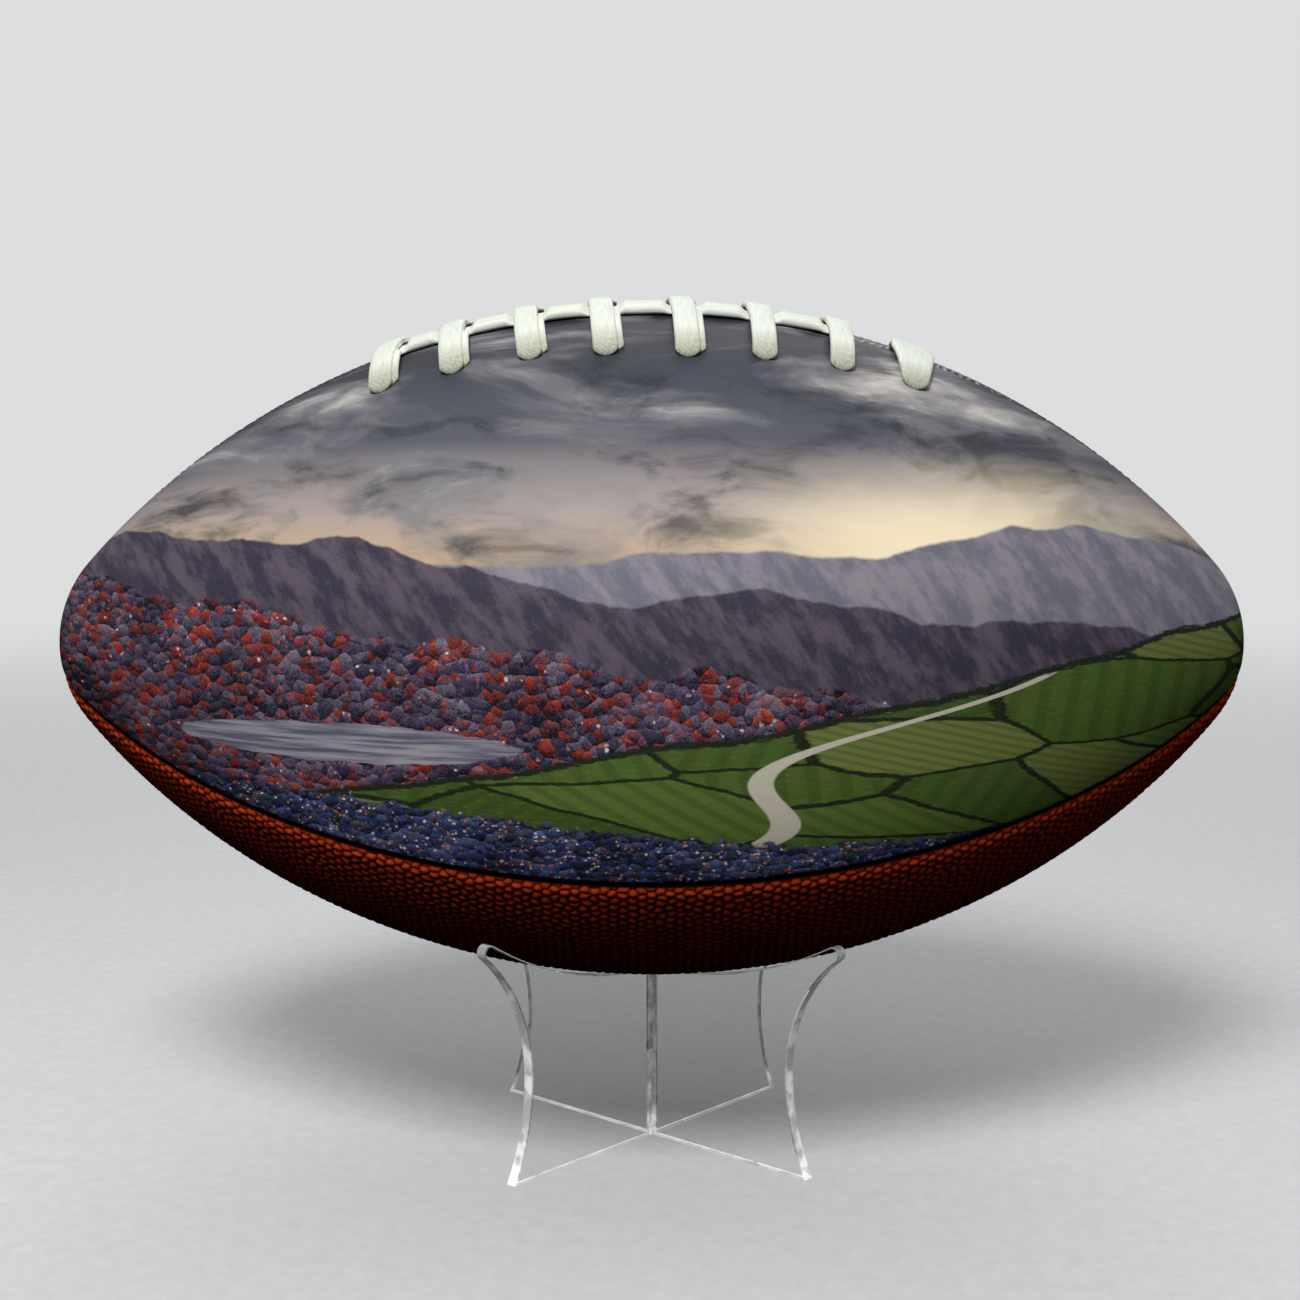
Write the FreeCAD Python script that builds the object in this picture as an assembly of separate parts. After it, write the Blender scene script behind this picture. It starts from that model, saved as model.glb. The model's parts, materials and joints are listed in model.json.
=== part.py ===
import FreeCAD, Part
import math
import os

# A laced American football on a clear stand of two sheets that slot together.
# Millimetres and degrees, +Z up. The ball's long axis lies along X, its picture faces -Y,
# and the feet of the stand are on z = 0, under the middle of the ball.

# Ball: its length, its girth and the round of its ends
ball_length = 286.0
ball_diameter = 160.4
tip_radius = 30.0

# Ball wall, from the outside in
leather_thickness = 2.0
lining_thickness = 1.2
facing_thickness = 1.5
tongue_thickness = 2.0
bladder_thickness = 1.0
layer_gap = 0.1
bladder_gap = 0.4

# Seams, as angles around the long axis: 0 faces the viewer and 90 is the top
lace_seam_angle = 77.0
upper_panel_angle = 112.0
seam_round = 1.6
flange_depth = 6.0
flange_thickness = 1.8
flange_end_margin = 9.0
stitch_pitch = 7.0
stitch_end_margin = 3.5
thread_radius = 0.45
thread_gap = 0.05

# Lacing: straps across the seam, and a strand along it that the straps hold down
strap_count = 8
strap_pitch = 17.2
strap_width = 5.6
strap_thickness = 2.0
strap_reach = 26.0
strap_bend = 0.8
second_pass_count = 5
second_pass_shift = 1.2
strand_width = 8.5
strand_thickness = 2.0
strand_round = 0.8
strand_strap_count = 7
lace_gap = 0.25
hole_gap = 0.35
facing_side_margin = 8.0
facing_end_margin = 10.0
tongue_side_margin = 6.0

# Valve: a rubber plug in the wall behind the laces, bonded inside the bladder
valve_turn = 50.0
valve_neck_radius = 3.2
valve_disc_radius = 8.0
valve_disc_thickness = 1.5
valve_stem_radius = 3.0
valve_stem_length = 8.0
valve_dimple_radius = 1.0
valve_dimple_depth = 1.5
valve_gap = 0.15

# Stand: two sheets, their side curves, the cradle that the ball lies in and the halving slots
sheet_thickness = 3.0
lower_sheet_turn = 41.6
waist_half_width = 43.3
waist_height = 24.5
foot_spread = 5.9
nose_spread = 14.9
nose_radius = 1.8
cradle_floor = 42.4
seat_gap = 0.6
slot_gap = 0.1
edge_break = 0.25

# Sizes of the ball that follow from the driving ones
ball_radius = ball_diameter / 2
tip_centre = ball_length / 2 - tip_radius
side_radius = (tip_centre**2 + ball_radius**2 - tip_radius**2) / (2 * (ball_radius - tip_radius))
side_drop = side_radius - ball_radius
tip_start = math.degrees(math.asin(tip_centre / (side_radius - tip_radius)))
ball_height = cradle_floor + seat_gap + ball_radius

# Depths of the wall's layers below the outer surface
lining_top = leather_thickness + layer_gap
lining_bottom = lining_top + lining_thickness
facing_top = lining_bottom + layer_gap
facing_bottom = facing_top + facing_thickness
tongue_top = facing_bottom + layer_gap
tongue_bottom = tongue_top + tongue_thickness
lace_bottom = facing_bottom + layer_gap + strap_thickness
flange_bottom = leather_thickness + flange_depth
thread_depth = leather_thickness + flange_depth / 2
bladder_top = lining_bottom + bladder_gap
pocket_bottom = max(tongue_bottom, lace_bottom) + bladder_gap

# Seams and the lengths of them that are sewn or laced, as angles along the ball's side curve
front_seam_angle = lace_seam_angle - upper_panel_angle
rear_seam_angle = lace_seam_angle + upper_panel_angle
bottom_seam_angle = lace_seam_angle + 180
strap_places = [(i - (strap_count - 1) / 2) * strap_pitch for i in range(strap_count)]
lacing_half_length = strap_places[-1] + facing_end_margin
lacing_end = math.degrees(math.asin(lacing_half_length / side_radius))
flange_end = tip_start - flange_end_margin
sewn_spans = [(-flange_end, flange_end)]
sewn_spans_beside_lacing = [(-flange_end, -lacing_end), (lacing_end, flange_end)]

# Widths across the lace seam
facing_width = strap_reach + facing_side_margin
tongue_half_width = strap_reach - tongue_side_margin

# Directions
long_axis = FreeCAD.Vector(1, 0, 0)
turn_axis = FreeCAD.Vector(-1, 0, 0)
side_axis = FreeCAD.Vector(0, 1, 0)
up = FreeCAD.Vector(0, 0, 1)
ball_centre = FreeCAD.Vector(0, 0, 0)
side_centre = FreeCAD.Vector(0, 0, -side_drop)


def vec(x, y, z):
    return FreeCAD.Vector(x, y, z)


def line(start, end):
    return Part.makeLine(start, end)


def arc(start, middle, end):
    return Part.Arc(start, middle, end).toShape()


def solid_face(edges):
    """The flat face inside a closed run of edges."""
    return Part.Face(Part.Wire(edges))


def around(shape, angle):
    """A shape made at the top of the ball, turned to a seam angle."""
    return shape.rotated(ball_centre, turn_axis, angle - 90)


def side_point(angle, depth):
    """A point of the ball's side curve, in the upright plane of the long axis."""
    reach = side_radius - depth
    slope = math.radians(angle)
    return vec(reach * math.sin(slope), 0, reach * math.cos(slope) - side_drop)


def tip_point(angle, depth, side):
    """A point of a tip's curve, where side is -1 at the left end and 1 at the right."""
    reach = tip_radius - depth
    slope = math.radians(angle)
    return vec(side * (tip_centre + reach * math.sin(slope)), 0, reach * math.cos(slope))


def wall_curve(depth):
    """The ball's outline from its left tip over the top to its right tip, at a depth."""
    middle = (tip_start + 90) / 2
    left_tip = [tip_point(angle, depth, -1) for angle in (90, middle, tip_start)]
    side = [side_point(angle, depth) for angle in (-tip_start, 0, tip_start)]
    right_tip = [tip_point(angle, depth, 1) for angle in (tip_start, middle, 90)]
    return [arc(*left_tip), arc(*side), arc(*right_tip)]


def wall(top, bottom, start, end):
    """A layer of the ball's wall between two depths and two seam angles."""
    right_edge = line(tip_point(90, top, 1), tip_point(90, bottom, 1))
    left_edge = line(tip_point(90, bottom, -1), tip_point(90, top, -1))
    face = solid_face(wall_curve(top) + [right_edge] + wall_curve(bottom)[::-1] + [left_edge])
    return around(face, start).revolve(ball_centre, turn_axis, end - start)


def ball_form(depth):
    """The whole ball as one solid, at a depth below its outer surface."""
    face = solid_face(wall_curve(depth) + [line(tip_point(90, depth, 1), tip_point(90, depth, -1))])
    return face.revolve(ball_centre, turn_axis, 360)


def band_face(top, bottom, span):
    """A strip of the wall's section between two depths and two angles along the side curve."""
    first, last = span
    middle = (first + last) / 2
    return solid_face([
        arc(side_point(first, top), side_point(middle, top), side_point(last, top)),
        line(side_point(last, top), side_point(last, bottom)),
        arc(side_point(last, bottom), side_point(middle, bottom), side_point(first, bottom)),
        line(side_point(first, bottom), side_point(first, top)),
    ])


def band(top, bottom, span, start, end):
    """A patch of the wall between two depths, two angles along the ball and two around it."""
    return around(band_face(top, bottom, span), start).revolve(ball_centre, turn_axis, end - start)


def plate(top, bottom, span, start, end):
    """A flat strip along a seam at the top of the ball, from one distance off its plane to another."""
    face = band_face(top, bottom, span).translated(side_axis * start)
    return face.extrude(side_axis * (end - start))


def turn_for(distance):
    """The angle around the ball that covers a distance on its widest girth."""
    return math.degrees(distance / ball_radius)


def seam_cutters(angle):
    """The valley of a seam, whose two shoulders are round, along the side and over both tips."""
    shoulder = seam_round * (1 - math.sqrt(0.5))
    clear = seam_round

    def section(centre, radius):
        base = vec(centre.x, 0, centre.z + radius)
        left = base - side_axis * seam_round
        right = base + side_axis * seam_round
        bottom = base - up * seam_round
        return solid_face([
            arc(left, base - side_axis * shoulder - up * shoulder, bottom),
            arc(bottom, base + side_axis * shoulder - up * shoulder, right),
            line(right, right + up * clear),
            line(right + up * clear, left + up * clear),
            line(left + up * clear, left),
        ])

    start = section(side_centre, side_radius).rotated(side_centre, side_axis, -tip_start)
    cutters = [start.revolve(side_centre, side_axis, 2 * tip_start)]
    for end in (-1, 1):
        centre = vec(end * tip_centre, 0, 0)
        start = section(centre, tip_radius).rotated(centre, side_axis, end * tip_start)
        cutters.append(start.revolve(centre, side_axis, end * (90 - tip_start)))
    return [around(cutter, angle) for cutter in cutters]


def stitch_angles(span):
    """Where the stitches of a sewn length go, evenly spaced between its ends."""
    margin = math.degrees(stitch_end_margin / side_radius)
    first = span[0] + margin
    length = math.radians(span[1] - margin - first) * side_radius
    gaps = max(1, round(length / stitch_pitch))
    step = (span[1] - margin - first) / gaps
    return [first + i * step for i in range(gaps + 1)]


def stitch_bars(span, radius, reach):
    """Round bars across a seam at the top of the ball, one at each stitch, as long on both sides."""
    bars = []
    for place in stitch_angles(span):
        start = side_point(place, thread_depth) - side_axis * reach
        bars.append(Part.makeCylinder(radius, 2 * reach, start, side_axis))
    return bars


def seam_thread(angle, spans):
    """The sewing of a seam: a run of thread along each flange, joined through it at every stitch."""
    offset = flange_thickness + thread_gap + thread_radius
    solids = []
    for span in spans:
        places = stitch_angles(span)
        runs = []
        for side in (-1, 1):
            start = side_point(places[0], thread_depth) + side_axis * (side * offset)
            across = side_point(places[0], 0) - side_centre
            circle = Part.Circle(start, side_axis.cross(across), thread_radius).toShape()
            centre = side_centre + side_axis * (side * offset)
            runs.append(solid_face([circle]).revolve(centre, side_axis, places[-1] - places[0]))
        bars = stitch_bars(span, thread_radius - thread_gap, offset)
        solids += around(runs[0].fuse(runs[1:] + bars), angle).Solids
    return Part.makeCompound(solids)


def strap_frame(place):
    """How far the surface lies from the axis along its normal at a strap, and the strap's placement."""
    slope = math.asin(place / side_radius)
    height = side_radius * math.cos(slope) - side_drop
    distance = height / math.cos(slope)
    foot = vec(place - height * math.tan(slope), 0, 0)
    lean = FreeCAD.Placement(foot, FreeCAD.Rotation(side_axis, math.degrees(slope)))
    roll = FreeCAD.Placement(ball_centre, FreeCAD.Rotation(turn_axis, lace_seam_angle - 90))
    return distance, roll.multiply(lean)


def strap_curve(distance):
    """The arc of a strap's underside over the strand: its centre height, radius and end angle."""
    crest = distance + lace_gap + strand_thickness + lace_gap
    ends = distance + lace_gap
    turn = strap_reach / ball_radius
    centre = (crest**2 - ends**2) / (2 * (crest - ends * math.cos(turn)))
    end_angle = math.atan2(ends * math.sin(turn), ends * math.cos(turn) - centre)
    return centre, crest - centre, end_angle, turn


def on_circle(centre, radius, angle, side):
    """A point in the plane across the long axis, at an angle from the upright towards a side."""
    return vec(0, side * (centre.y + radius * math.sin(angle)), centre.z + radius * math.cos(angle))


def strap_leg(distance, side, grow):
    """The corners of a strap's leg, two under its bend and two inside the wall, grown by a gap."""
    centre, radius, end_angle, turn = strap_curve(distance)
    bend = on_circle(vec(0, 0, centre), radius - strap_bend, end_angle, 1)
    last = math.pi / 2 + turn
    inner = on_circle(bend, strap_bend - grow, last, side)
    outer = on_circle(bend, strap_bend + strap_thickness + grow, last, side)
    down = vec(0, -side * math.sin(turn), -math.cos(turn))
    length = math.hypot(inner.y, inner.z) - (distance - lace_bottom)
    return inner, outer, inner + down * length, outer + down * length


def stadium(distance, grow, low, high):
    """The plan of a strap, with round ends, as a prism."""
    centre, radius, end_angle, turn = strap_curve(distance)
    bend = on_circle(vec(0, 0, centre), radius - strap_bend, end_angle, 1)
    half = strap_width / 2 + grow
    straight = bend.y + strap_bend + strap_thickness - strap_width / 2
    face = solid_face([
        line(vec(-half, -straight, low), vec(-half, straight, low)),
        arc(vec(-half, straight, low), vec(0, straight + half, low), vec(half, straight, low)),
        line(vec(half, straight, low), vec(half, -straight, low)),
        arc(vec(half, -straight, low), vec(0, -straight - half, low), vec(-half, -straight, low)),
    ])
    return face.extrude(up * (high - low))


def strap(distance, thickness):
    """One strap: an arch over the strand, a bend at each end and a leg through the wall."""
    centre, radius, end_angle, turn = strap_curve(distance)
    middle = vec(0, 0, centre)
    edges = []
    for side in (-1, 1):
        bend = on_circle(middle, radius - strap_bend, end_angle, 1)
        last = math.pi / 2 + turn
        turns = (end_angle, (end_angle + last) / 2, last)
        inner = [on_circle(bend, strap_bend, angle, side) for angle in turns]
        outer = [on_circle(bend, strap_bend + thickness, angle, side) for angle in turns]
        inner_foot = strap_leg(distance, side, 0)[2]
        outer_foot = inner_foot + outer[-1] - inner[-1]
        edges += [
            arc(*inner),
            line(inner[-1], inner_foot),
            line(inner_foot, outer_foot),
            line(outer_foot, outer[-1]),
            arc(*outer),
        ]
    for level in (radius, radius + thickness):
        left = on_circle(middle, level, end_angle, -1)
        right = on_circle(middle, level, end_angle, 1)
        edges.append(arc(left, on_circle(middle, level, 0, 1), right))
    profile = solid_face(Part.__sortEdges__(edges))
    band_solid = profile.translated(long_axis * (-strap_width / 2)).extrude(long_axis * strap_width)
    return band_solid.common(stadium(distance, 0, 0, 2 * distance))


def second_shift(index):
    """How far the lace's other pass lies to the side, under a strap."""
    return second_pass_shift if index < second_pass_count else 0


def lace_holes():
    """Cutters for the slots in the wall that the legs of the straps go through."""
    cutters = []
    for index, place in enumerate(strap_places):
        distance, placement = strap_frame(place)
        plan = stadium(distance, hole_gap, 0, 2 * distance)
        for side in (-1, 1):
            inner, outer, inner_foot, outer_foot = strap_leg(distance, side, hole_gap)
            rise = (inner - inner_foot).normalize() * strap_thickness
            profile = Part.makePolygon([
                inner + rise, outer + rise, outer_foot - rise, inner_foot - rise, inner + rise,
            ])
            half = strap_width / 2 + hole_gap
            slab = Part.Face(profile).translated(long_axis * (-half)).extrude(long_axis * (2 * half))
            for shift in {0, second_shift(index)}:
                cutter = slab.common(plan).translated(long_axis * shift)
                cutters.append(placed(cutter, placement))
    return cutters


def placed(shape, placement):
    """A copy of a shape, moved by a placement."""
    copy = shape.copy()
    copy.Placement = placement.multiply(copy.Placement)
    return copy


def foot_point(index, side):
    """The middle of a strap's leg at its inner end, in the ball's frame."""
    distance, placement = strap_frame(strap_places[index])
    corners = strap_leg(distance, side, 0)
    middle = (corners[2] + corners[3]) * 0.5
    rise = (corners[0] - corners[2]).normalize() * (strap_thickness / 2)
    return placement.multVec(middle + rise), placement.Rotation.multVec(rise)


def inner_run(index, side):
    """The stretch of lace inside the wall from one strap's leg to the next."""
    start, rise = foot_point(index, side)
    end, _ = foot_point(index + 1, side)
    along = (end - start).normalize()
    across = along.cross(rise).normalize() * (strap_thickness / 2)
    lift = across.cross(along).normalize() * (strap_thickness / 2)
    start = start - along * (strap_thickness / 2)
    end = end + along * (strap_thickness / 2)
    corners = []
    for wide, high in ((1, 1), (1, -1), (-1, -1), (-1, 1)):
        corners.append(start + across * wide + lift * high)
    return Part.Face(Part.makePolygon(corners + corners[:1])).extrude(end - start)


def cross_lace():
    """The lace: straps side by side, joined inside the wall at the rear and the front in turn."""
    pieces = []
    for index, place in enumerate(strap_places):
        distance, placement = strap_frame(place)
        pieces.append(placed(strap(distance, strap_thickness), placement))
        shift = second_shift(index)
        if shift:
            under = strap(distance, strap_thickness / 2).translated(long_axis * shift)
            pieces.append(placed(under, placement))
    for index in range(strap_count - 1):
        side = 1 if index % 2 == 0 else -1
        pieces.append(inner_run(index, side))
    return pieces[0].fuse(pieces[1:]).removeSplitter()


def centre_lace():
    """The strand along the seam, whose ends are tucked under a strap."""
    tuck = strap_width / 4
    first = math.degrees(math.asin((strap_places[0] - tuck) / side_radius))
    last = math.degrees(math.asin((strap_places[strand_strap_count - 1] + tuck) / side_radius))
    half = strand_width / 2
    strip = plate(-lace_gap - strand_thickness, -lace_gap, (first, last), -half, half)
    long_edges = [edge for edge in strip.Edges if isinstance(edge.Curve, Part.Circle)]
    return around(strip.makeFillet(strand_round, long_edges), lace_seam_angle)


def panel(start, end, flanges):
    """A leather panel between two seams, its edges rounded, with the flanges that it is sewn by."""
    shell = wall(0, leather_thickness, start, end)
    shell = shell.cut(seam_cutters(start) + seam_cutters(end))
    strips = []
    for angle, spans, side in flanges:
        for span in spans:
            strip = plate(leather_thickness / 2, flange_bottom, span, 0, side * flange_thickness)
            strip = strip.cut(stitch_bars(span, thread_radius, 2 * flange_thickness))
            strips.append(around(strip, angle))
    return shell.fuse(strips)


def panel_lining(start, end):
    """The cloth behind a panel, cut back from the flanges of both seams."""
    cloth = wall(lining_top, lining_bottom, start, end)
    half = flange_thickness + layer_gap
    slab = Part.makeBox(2 * ball_length, 2 * half, ball_diameter, vec(-ball_length, -half, 0))
    return cloth.cut([around(slab, start), around(slab, end)])


def bladder():
    """The inflated bladder, pressed around the flanges of the seams and the inside of the lacing."""
    def form(grow):
        hollow = [lacing_pocket(grow)]
        half = flange_thickness + 2 * (thread_radius + thread_gap) + bladder_gap + grow
        spread = math.degrees((bladder_gap + grow) / side_radius)
        for angle, spans in seams.items():
            for first, last in spans:
                span = (first - spread, last + spread)
                groove = plate(0, flange_bottom + bladder_gap + grow, span, -half, half)
                hollow.append(around(groove, angle))
        return ball_form(bladder_top + grow).cut(hollow)

    return form(0).cut(form(bladder_thickness))


def lacing_pocket(grow):
    """The room that the lacing and its backing take from the bladder."""
    turn = turn_for(facing_width + bladder_gap + grow) * ball_radius / (ball_radius - pocket_bottom)
    reach = lacing_end + math.degrees((bladder_gap + grow) / side_radius)
    bottom = pocket_bottom + grow
    return band(0, bottom, (-reach, reach), lace_seam_angle - turn, lace_seam_angle + turn)


def lacing_span():
    """The stretch of the side curve that the lacing's backing covers, short of the sewn flanges."""
    end = lacing_end - math.degrees(bladder_gap / side_radius)
    return (-end, end)


def facing(side):
    """The strip that strengthens one edge of the laced opening, where side is -1 at the front."""
    edge = lace_seam_angle + side * turn_for(facing_width)
    start, end = sorted((edge, lace_seam_angle))
    return band(facing_top, facing_bottom, lacing_span(), start, end)


def tongue():
    """The strip under the laced opening that keeps the bladder from it."""
    turn = turn_for(tongue_half_width)
    return band(tongue_top, tongue_bottom, lacing_span(), lace_seam_angle - turn, lace_seam_angle + turn)


def valve_point(depth):
    return vec(0, 0, ball_radius - depth)


def valve_hole():
    """The hole for the valve's neck through the wall and the bladder."""
    length = ball_radius / 2
    hole = Part.makeCylinder(valve_neck_radius + valve_gap, length, valve_point(length), up)
    return around(hole.translated(up * leather_thickness), lace_seam_angle + valve_turn)


def valve():
    """The valve: a neck flush with the leather, a disc inside the bladder and a closed stem."""
    inner_radius = ball_radius - bladder_top - bladder_thickness
    disc_top = math.sqrt(inner_radius**2 - valve_disc_radius**2) - layer_gap
    disc_bottom = disc_top - valve_disc_thickness
    neck_top = math.sqrt(ball_radius**2 - valve_neck_radius**2)
    neck = Part.makeCylinder(valve_neck_radius, neck_top - disc_bottom, vec(0, 0, disc_bottom), up)
    disc = Part.makeCylinder(valve_disc_radius, valve_disc_thickness, vec(0, 0, disc_bottom), up)
    stem_bottom = disc_bottom - valve_stem_length
    stem = Part.makeCylinder(valve_stem_radius, valve_stem_length, vec(0, 0, stem_bottom), up)
    end = Part.makeSphere(valve_stem_radius, vec(0, 0, stem_bottom))
    dimple_start = vec(0, 0, neck_top - valve_dimple_depth)
    dimple = Part.makeCylinder(valve_dimple_radius, valve_dimple_depth, dimple_start, up)
    body = neck.fuse([disc, stem, end]).cut(dimple).removeSplitter()
    return around(body, lace_seam_angle + valve_turn)


def cradle_circle(turn):
    """The circle that the ball's underside makes on an upright plane turned from the long axis."""
    reach = waist_half_width + foot_spread
    along = reach * math.cos(math.radians(turn))
    across = reach * math.sin(math.radians(turn))
    girth = math.sqrt(side_radius**2 - along**2) - side_drop
    rise = ball_radius - math.sqrt(girth**2 - across**2)
    radius = (reach**2 + rise**2) / (2 * rise)
    return ball_height - ball_radius + radius, radius + seat_gap


def nose_centre(turn):
    """The middle of a sheet's round nose, which touches its cradle."""
    height, radius = cradle_circle(turn)
    out = waist_half_width + nose_spread - nose_radius
    return vec(out, 0, height - math.sqrt((radius + nose_radius)**2 - out**2))


def sheet_outline(turn):
    """The face of a sheet: straight foot, hollow sides, round noses and a hollow cradle."""
    height, radius = cradle_circle(turn)
    nose = nose_centre(turn)
    foot = waist_half_width + foot_spread
    foot_radius = (foot_spread**2 + waist_height**2) / (2 * foot_spread)
    half_slope = math.asin(waist_height / foot_radius) / 2
    rise = nose.z - waist_height
    inset = nose.x - waist_half_width
    shoulder_radius = (inset**2 + rise**2 - nose_radius**2) / (2 * nose_spread)
    shoulder = vec(waist_half_width + shoulder_radius, 0, waist_height)
    top = vec(0, 0, height)
    neck = shoulder + (nose - shoulder).normalize() * shoulder_radius
    lip = top + (nose - top).normalize() * radius
    low_middle = vec(
        waist_half_width + foot_radius * (1 - math.cos(half_slope)), 0,
        waist_height - foot_radius * math.sin(half_slope),
    )
    waist = vec(waist_half_width, 0, waist_height)
    bow = shoulder + ((waist + neck) * 0.5 - shoulder).normalize() * shoulder_radius
    nose_middle = nose + vec(nose_radius, 0, 0)

    def mirrored(point):
        return vec(-point.x, 0, point.z)

    corner = vec(foot, 0, 0)
    right = [(corner, low_middle, waist), (waist, bow, neck), (neck, nose_middle, lip)]
    edges = [line(mirrored(corner), corner)]
    for points in right:
        edges.append(arc(*points))
        edges.append(arc(*[mirrored(point) for point in points]))
    edges.append(arc(lip, vec(0, 0, cradle_floor), mirrored(lip)))
    return solid_face(Part.__sortEdges__(edges))


def sheet(turn, slot_low, slot_high):
    """A sheet of the stand with its halving slot, its sharp edges broken, turned to its place."""
    half = sheet_thickness / 2
    flat = sheet_outline(turn).translated(side_axis * (-half)).extrude(side_axis * sheet_thickness)
    slot_half = half + slot_gap
    slot = Part.makeBox(2 * slot_half, 2 * sheet_thickness, slot_high - slot_low)
    flat = flat.cut(slot.translated(vec(-slot_half, -sheet_thickness, slot_low)))
    rim = [edge for edge in flat.Edges if edge.BoundBox.YLength < edge_break]
    return flat.makeChamfer(edge_break, rim).rotated(ball_centre, up, turn)


def save(name, shape):
    os.makedirs("parts", exist_ok=True)
    shape.exportStep("parts/" + name + ".step")


def save_in_ball(name, shape):
    save(name, shape.translated(up * ball_height))


seams = {
    lace_seam_angle: sewn_spans_beside_lacing,
    front_seam_angle: sewn_spans,
    rear_seam_angle: sewn_spans,
    bottom_seam_angle: sewn_spans,
}

slot_meet = cradle_floor / 2
sheet_top = 2 * cradle_floor
save("cradle_panel_lower", sheet(-lower_sheet_turn, slot_meet - slot_gap, sheet_top))
save("cradle_panel_upper", sheet(90 - lower_sheet_turn, -cradle_floor, slot_meet + slot_gap))

panels = {
    "picture": (front_seam_angle, lace_seam_angle),
    "rear_upper": (lace_seam_angle, rear_seam_angle),
    "lower_front": (bottom_seam_angle - 360, front_seam_angle),
    "lower_rear": (rear_seam_angle, bottom_seam_angle),
}
holes = lace_holes()
for name, (start, end) in panels.items():
    flanges = []
    for angle, side in ((start, 1), (end, -1)):
        spans = sewn_spans_beside_lacing if angle == lace_seam_angle else sewn_spans
        flanges.append((angle, spans, side))
    leather = panel(start, end, flanges)
    cloth = panel_lining(start, end)
    if lace_seam_angle in (start, end):
        leather = leather.cut(holes)
        cloth = cloth.cut(holes)
    if name == "rear_upper":
        leather = leather.cut(valve_hole())
        cloth = cloth.cut(valve_hole())
    save_in_ball(name + "_panel", leather)
    save_in_ball(name + "_lining", cloth)

save_in_ball("front_lace_facing", facing(-1).cut(holes))
save_in_ball("rear_lace_facing", facing(1).cut(holes))
save_in_ball("lace_tongue", tongue())
save_in_ball("cross_lace", cross_lace())
save_in_ball("centre_lace", centre_lace())
save_in_ball("bladder", bladder().cut(valve_hole()))
save_in_ball("valve", valve())
for name, angle in (("lace", lace_seam_angle), ("front", front_seam_angle),
                    ("rear", rear_seam_angle), ("bottom", bottom_seam_angle)):
    save_in_ball(name + "_seam_thread", seam_thread(angle, seams[angle]))
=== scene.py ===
import json
import math

import bpy
import numpy as np
from mathutils import Matrix, Vector, kdtree


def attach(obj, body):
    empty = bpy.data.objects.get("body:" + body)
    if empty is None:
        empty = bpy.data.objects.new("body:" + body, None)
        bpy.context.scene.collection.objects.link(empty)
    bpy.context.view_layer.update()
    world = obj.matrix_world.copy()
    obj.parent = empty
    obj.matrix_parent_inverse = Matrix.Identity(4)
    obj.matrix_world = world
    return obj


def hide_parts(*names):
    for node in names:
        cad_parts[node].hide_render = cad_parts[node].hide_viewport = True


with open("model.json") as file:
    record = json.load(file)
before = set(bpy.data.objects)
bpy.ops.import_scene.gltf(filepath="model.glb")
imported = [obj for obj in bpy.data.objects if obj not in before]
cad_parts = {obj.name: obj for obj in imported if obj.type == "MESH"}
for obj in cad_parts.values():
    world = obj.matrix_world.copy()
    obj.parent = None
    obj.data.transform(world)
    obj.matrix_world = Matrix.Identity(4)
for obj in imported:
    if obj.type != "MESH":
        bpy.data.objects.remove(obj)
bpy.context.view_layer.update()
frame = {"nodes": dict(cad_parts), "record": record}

# The ball's driving sizes, in metres and degrees, as in the part's source
BALL_LENGTH = 0.286
BALL_RADIUS = 0.0802
TIP_RADIUS = 0.030
BALL_HEIGHT = 0.1232
LACE_SEAM = 77.0
UPPER_PANEL = 112.0
FRONT_SEAM = LACE_SEAM - UPPER_PANEL
REAR_SEAM = LACE_SEAM + UPPER_PANEL
BOTTOM_SEAM = LACE_SEAM + 180.0
LEATHER = 0.0020
TIP_TRIM = 0.0012
# A panel's edge turns in at a seam: how deep, and how wide on the grained panels
SEAM_ROUND = 0.0016
SEAM_ROLL = 0.0034
SEAM_GAP = 0.00004

# Lacing
STRAP_PITCH = 0.0172
STRAP_WIDTH = 0.0056
STRAP_THICKNESS = 0.0018
STRAP_REACH = 0.0260
STRAP_BEND = 0.0008
STRAND_WIDTH = 0.0088
STRAND_THICKNESS = 0.0021
PRESSED = 0.45
LACE_GAP = 0.00015
# How far each strap was pulled along the seam by hand, how far it leans, and how much shorter it is,
# from the left
STRAP_DRIFTS = (-0.0004, -0.0026, -0.0030, -0.0030, -0.0016, -0.0012, -0.0002, 0.0000)
STRAP_LEANS = (-0.03, 0.03, 0.06, 0.05, 0.04, 0.03, 0.00, -0.04)
STRAP_SHORTS = (0.0034, 0.0024, 0.0020, 0.0007, 0.0000, 0.0016, 0.0030, 0.0038)
LAST_STRAP_FLARE = 0.9
STRAND_STRAPS = 7
SECOND_PASS_STRAPS = 5
SECOND_PASS_SHIFT = 0.0013
SECOND_PASS_SHORT = 0.0014
SECOND_PASS_SINK = 0.0004
SECOND_PASS_THIN = 0.6
# The lace's painted shade and fuzz start this far from a strap's end and grow over this length
SHADE_AND_FUZZ_LENGTH = 0.0120
SHADE_AND_FUZZ_FADE = 0.0090

# Leather grain, with the jitter, the rows' spacing and the flanks' width as shares of the pitch
PEBBLE_PITCH = 0.0024
PEBBLE_HEIGHT = 0.00046
PEBBLE_JITTER = 0.14
PEBBLE_ROWS = 0.866
PEBBLE_FLANK = 0.46
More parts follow.
